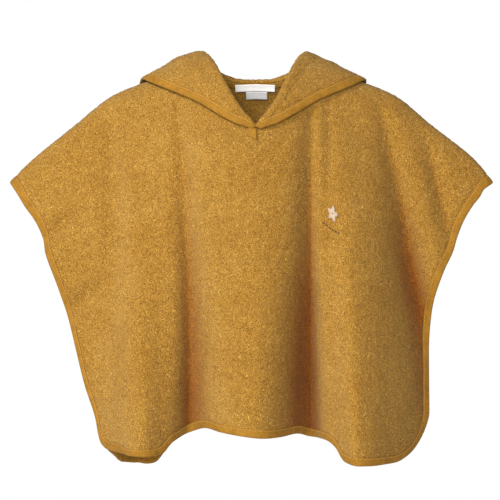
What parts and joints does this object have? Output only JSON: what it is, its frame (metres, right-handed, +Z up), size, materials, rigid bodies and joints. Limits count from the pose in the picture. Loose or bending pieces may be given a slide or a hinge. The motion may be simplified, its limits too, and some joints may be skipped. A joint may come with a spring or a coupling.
{
  "type": "hooded bath poncho",
  "caption": "Hooded bath poncho in terry cloth, in its worn shape, with a lowered hood, bound edges, open sides and blank neck labels.",
  "frame": {"origin": "base of the neck between the shoulders, on the line where front and back meet", "axes": "+X to the viewer's right across the shoulders, -Y towards the viewer, out of the front panel, +Z up"},
  "size_m": [0.5806, 0.2037, 0.5019],
  "materials": {
    "terry": "looped terry cloth in golden ochre",
    "binding": "smooth cotton binding in golden ochre",
    "tape": "smooth cotton tape in golden ochre",
    "label": "woven satin in off-white"
  },
  "bodies": {
    "root": {"front_panel": "terry", "back_panel": "terry", "hood_left": "terry", "hood_right": "terry", "edge_binding": "binding", "hood_binding": "binding", "neck_tab": "binding", "neck_tape": "tape", "neck_label": "label", "size_label": "label"}
  },
  "joints": []
}
